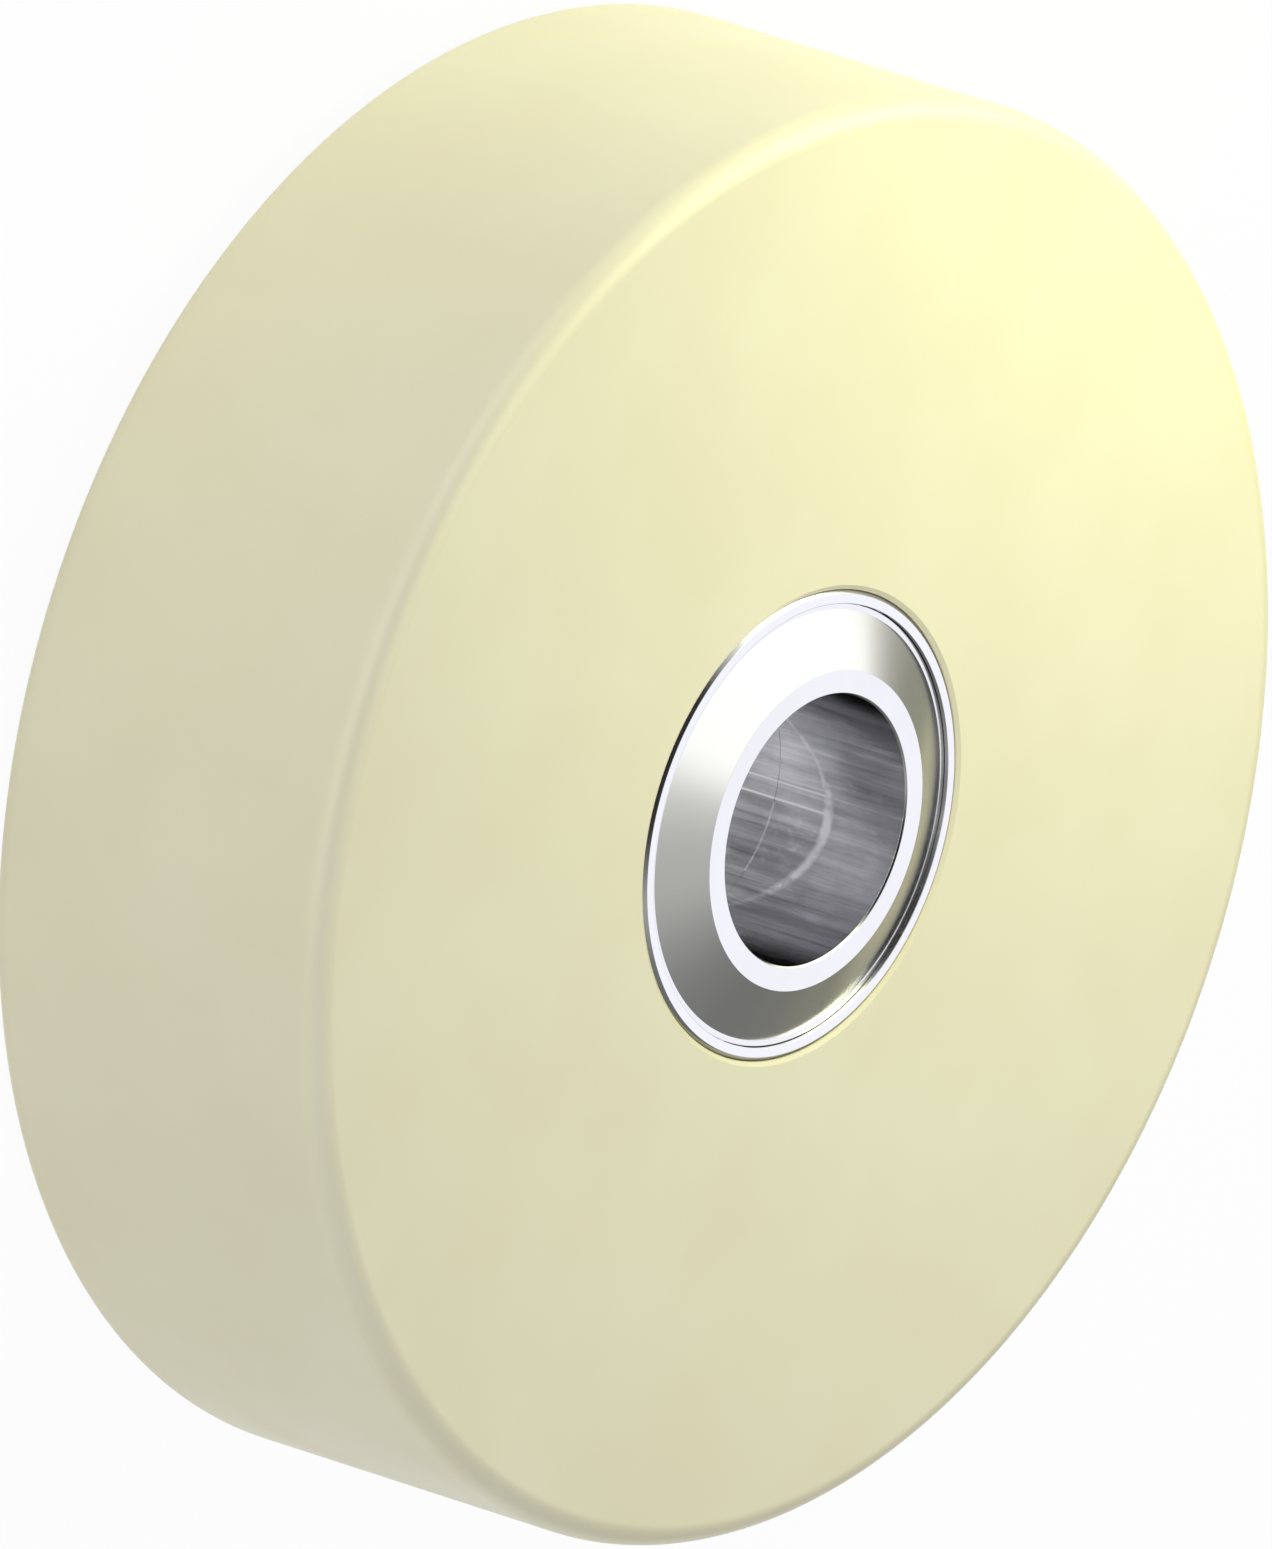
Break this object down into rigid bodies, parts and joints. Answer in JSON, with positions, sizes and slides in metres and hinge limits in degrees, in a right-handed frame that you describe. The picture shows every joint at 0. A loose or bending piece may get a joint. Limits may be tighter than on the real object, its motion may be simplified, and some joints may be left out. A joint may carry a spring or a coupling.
{
  "type": "heavy duty wheel",
  "caption": "Solid cast nylon wheel with a plain tread, running on sealed ball bearings, with flanged steel end bushes for a through axle.",
  "frame": {"origin": "centre of the wheel, on its axle axis, midway between the two hub end faces", "axes": "+Z along the axle axis, out of the front face; X and Y lie across the wheel"},
  "size_m": [0.4, 0.4, 0.125],
  "materials": {
    "nylon": "cast nylon, natural cream, lightly turned, satin",
    "bearing_steel": "ground and polished bearing steel",
    "bush_steel": "fine turned bright steel",
    "seal_rubber": "black nitrile rubber",
    "cage_nylon": "moulded nylon, natural"
  },
  "bodies": {
    "hub": {"bush_back": "bush_steel", "bush_front": "bush_steel", "inner_ring_back": "bearing_steel", "inner_ring_front": "bearing_steel", "spacer_tube": "bush_steel"},
    "wheel": {"wheel_body": "nylon", "outer_ring_front": "bearing_steel", "outer_ring_back": "bearing_steel", "seal_outer_front": "seal_rubber", "seal_inner_front": "seal_rubber", "seal_outer_back": "seal_rubber", "seal_inner_back": "seal_rubber"},
    "cage_front": {"cage_front": "cage_nylon", "ball_front_01": "bearing_steel", "ball_front_02": "bearing_steel", "ball_front_03": "bearing_steel", "ball_front_04": "bearing_steel", "ball_front_05": "bearing_steel", "ball_front_06": "bearing_steel", "ball_front_07": "bearing_steel", "ball_front_08": "bearing_steel", "ball_front_09": "bearing_steel", "ball_front_10": "bearing_steel", "ball_front_11": "bearing_steel", "ball_front_12": "bearing_steel", "ball_front_13": "bearing_steel"},
    "cage_back": {"cage_back": "cage_nylon", "ball_back_01": "bearing_steel", "ball_back_02": "bearing_steel", "ball_back_03": "bearing_steel", "ball_back_04": "bearing_steel", "ball_back_05": "bearing_steel", "ball_back_06": "bearing_steel", "ball_back_07": "bearing_steel", "ball_back_08": "bearing_steel", "ball_back_09": "bearing_steel", "ball_back_10": "bearing_steel", "ball_back_11": "bearing_steel", "ball_back_12": "bearing_steel", "ball_back_13": "bearing_steel"}
  },
  "joints": [
    {"name": "wheel_spin", "type": "hinge", "parent": "hub", "child": "wheel", "pos_m": [0, 0, 0], "axis": [0, 0, 1], "continuous": true},
    {"name": "cage_front_spin", "type": "hinge", "parent": "hub", "child": "cage_front", "pos_m": [0, 0, 0.0463], "axis": [0, 0, 1], "continuous": true},
    {"name": "cage_back_spin", "type": "hinge", "parent": "hub", "child": "cage_back", "pos_m": [0, 0, -0.0463], "axis": [0, 0, 1], "continuous": true}
  ],
  "couplings": [
    {"joint": "cage_front_spin", "follows": "wheel_spin", "ratio": 0.56651},
    {"joint": "cage_back_spin", "follows": "wheel_spin", "ratio": 0.56651}
  ]
}
